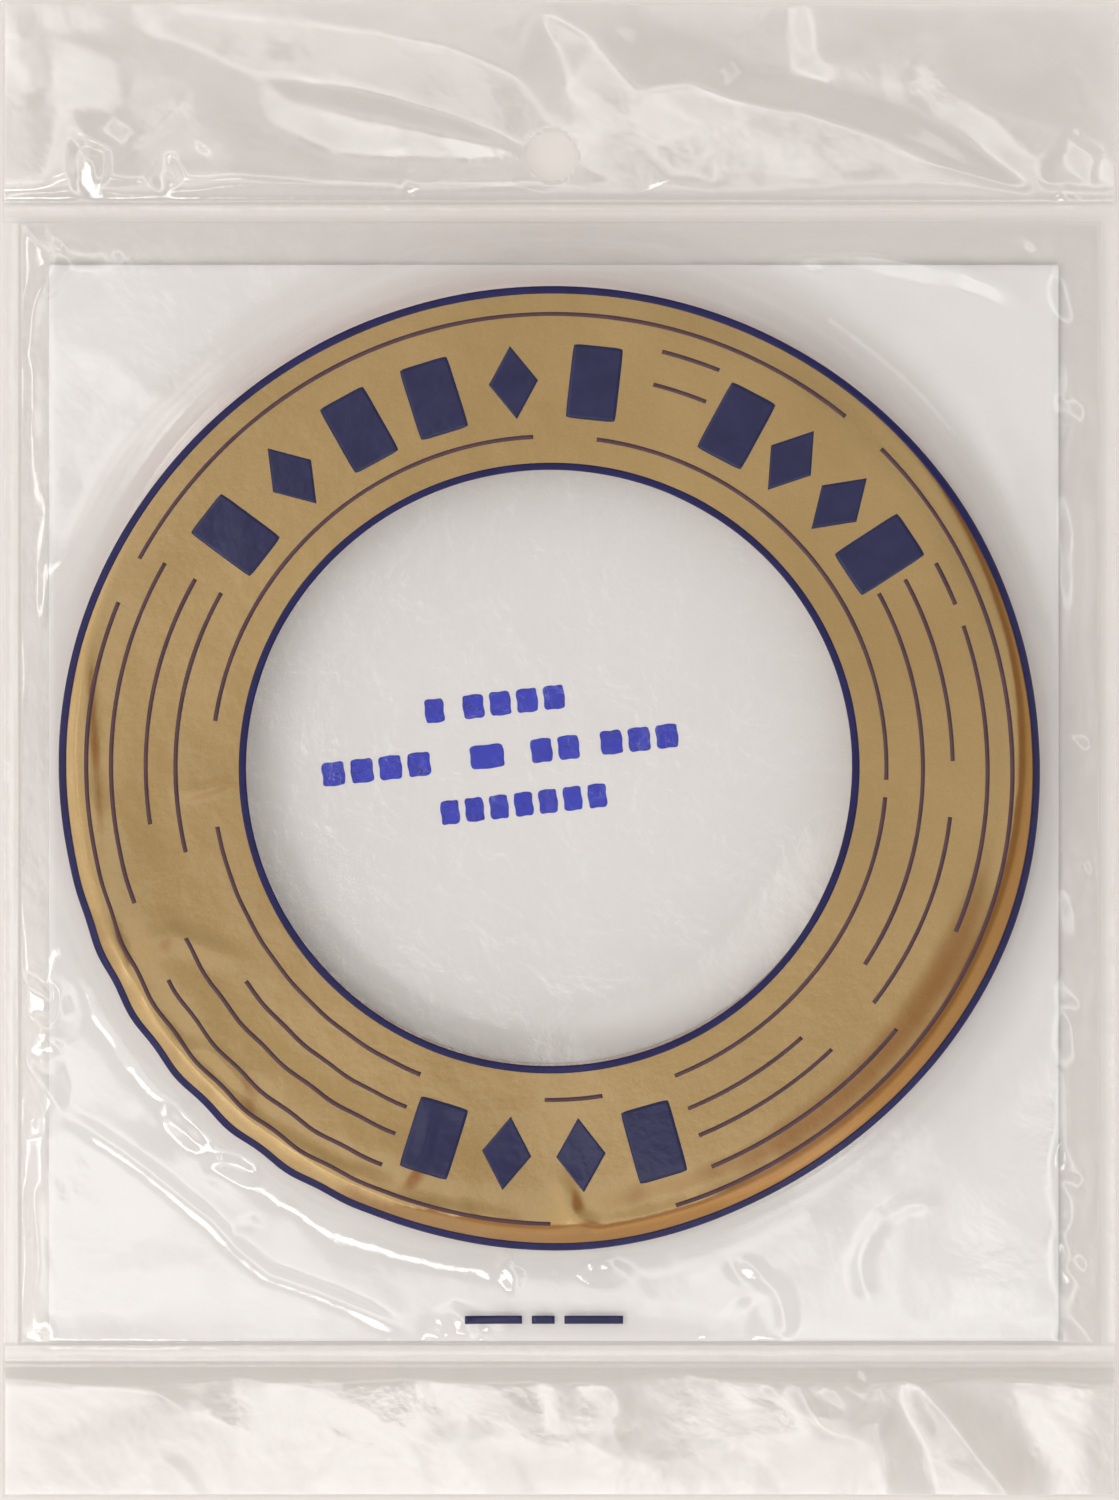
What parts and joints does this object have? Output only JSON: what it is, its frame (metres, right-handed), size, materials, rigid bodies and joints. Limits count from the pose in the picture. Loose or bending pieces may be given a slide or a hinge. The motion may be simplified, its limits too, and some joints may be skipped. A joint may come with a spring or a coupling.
{
  "type": "copper foil tape roll",
  "caption": "Roll of copper foil tape on a backing card, sealed in a clear printed film pouch with a hang hole; header and skirt fold, roll turns inside.",
  "frame": {"origin": "middle of the pouch outline, on the back face that it lies on", "axes": "+Z out of the printed front, +Y towards the hang hole, +X to the right seen from the front"},
  "size_m": [0.1368, 0.1836, 0.007],
  "materials": {
    "clear_film": "clear, faintly milky, glossy and creased",
    "welded_film": "clear film pressed flat by a heat weld",
    "white_card": "smooth matt white card",
    "core_board": "wound grey-brown paperboard",
    "wound_edge": "fine edges of wound copper foil and liner",
    "liner_paper": "thin smooth release paper",
    "copper_foil": "bright rolled copper foil",
    "gold_ink": "satin metallic gold ink",
    "navy_ink": "solid dark navy ink",
    "brown_ink": "thin brown-purple ink line",
    "blue_stamp_ink": "uneven bright blue stamp ink"
  },
  "bodies": {
    "pouch": {"back_film": "clear_film", "front_film": "clear_film", "left_side_weld": "welded_film", "right_side_weld": "welded_film", "top_seal": "welded_film", "bottom_seal": "welded_film", "gold_ring_print": "gold_ink", "outer_outline_print": "navy_ink", "inner_outline_print": "navy_ink", "dashed_line_print": "brown_ink", "upper_mark_print": "navy_ink", "lower_mark_print": "navy_ink", "footer_bar_print": "navy_ink"},
    "header": {"header_front_film": "clear_film", "header_back_film": "clear_film"},
    "skirt": {"skirt_front_film": "clear_film", "skirt_back_film": "clear_film"},
    "card": {"backing_card": "white_card", "stamped_bar_print": "blue_stamp_ink"},
    "roll": {"core_ring": "core_board", "tape_winding": "wound_edge", "outer_turn_liner": "liner_paper", "outer_turn_foil": "copper_foil"},
    "tape_end": {"tape_end_liner": "liner_paper", "tape_end_foil": "copper_foil"}
  },
  "joints": [
    {"name": "header_fold", "type": "hinge", "parent": "pouch", "child": "header", "pos_m": [0, 0.0673, 0.0002], "axis": [1, 0, 0], "range_deg": [0, 135]},
    {"name": "skirt_fold", "type": "hinge", "parent": "pouch", "child": "skirt", "pos_m": [0, -0.0755, 0.0002], "axis": [-1, 0, 0], "range_deg": [0, 150]},
    {"name": "card_slide", "type": "slide", "parent": "pouch", "child": "card", "axis": [0, 1, 0], "range_m": [0, 0.0045]},
    {"name": "roll_spin", "type": "hinge", "parent": "pouch", "child": "roll", "pos_m": [-0.0013, -0.0003, 0.00373], "axis": [0, 0, 1], "continuous": true},
    {"name": "tape_end_lift", "type": "hinge", "parent": "roll", "child": "tape_end", "pos_m": [0.0432, -0.03507, 0.00373], "axis": [0, 0, 1], "range_deg": [0, 5]}
  ]
}
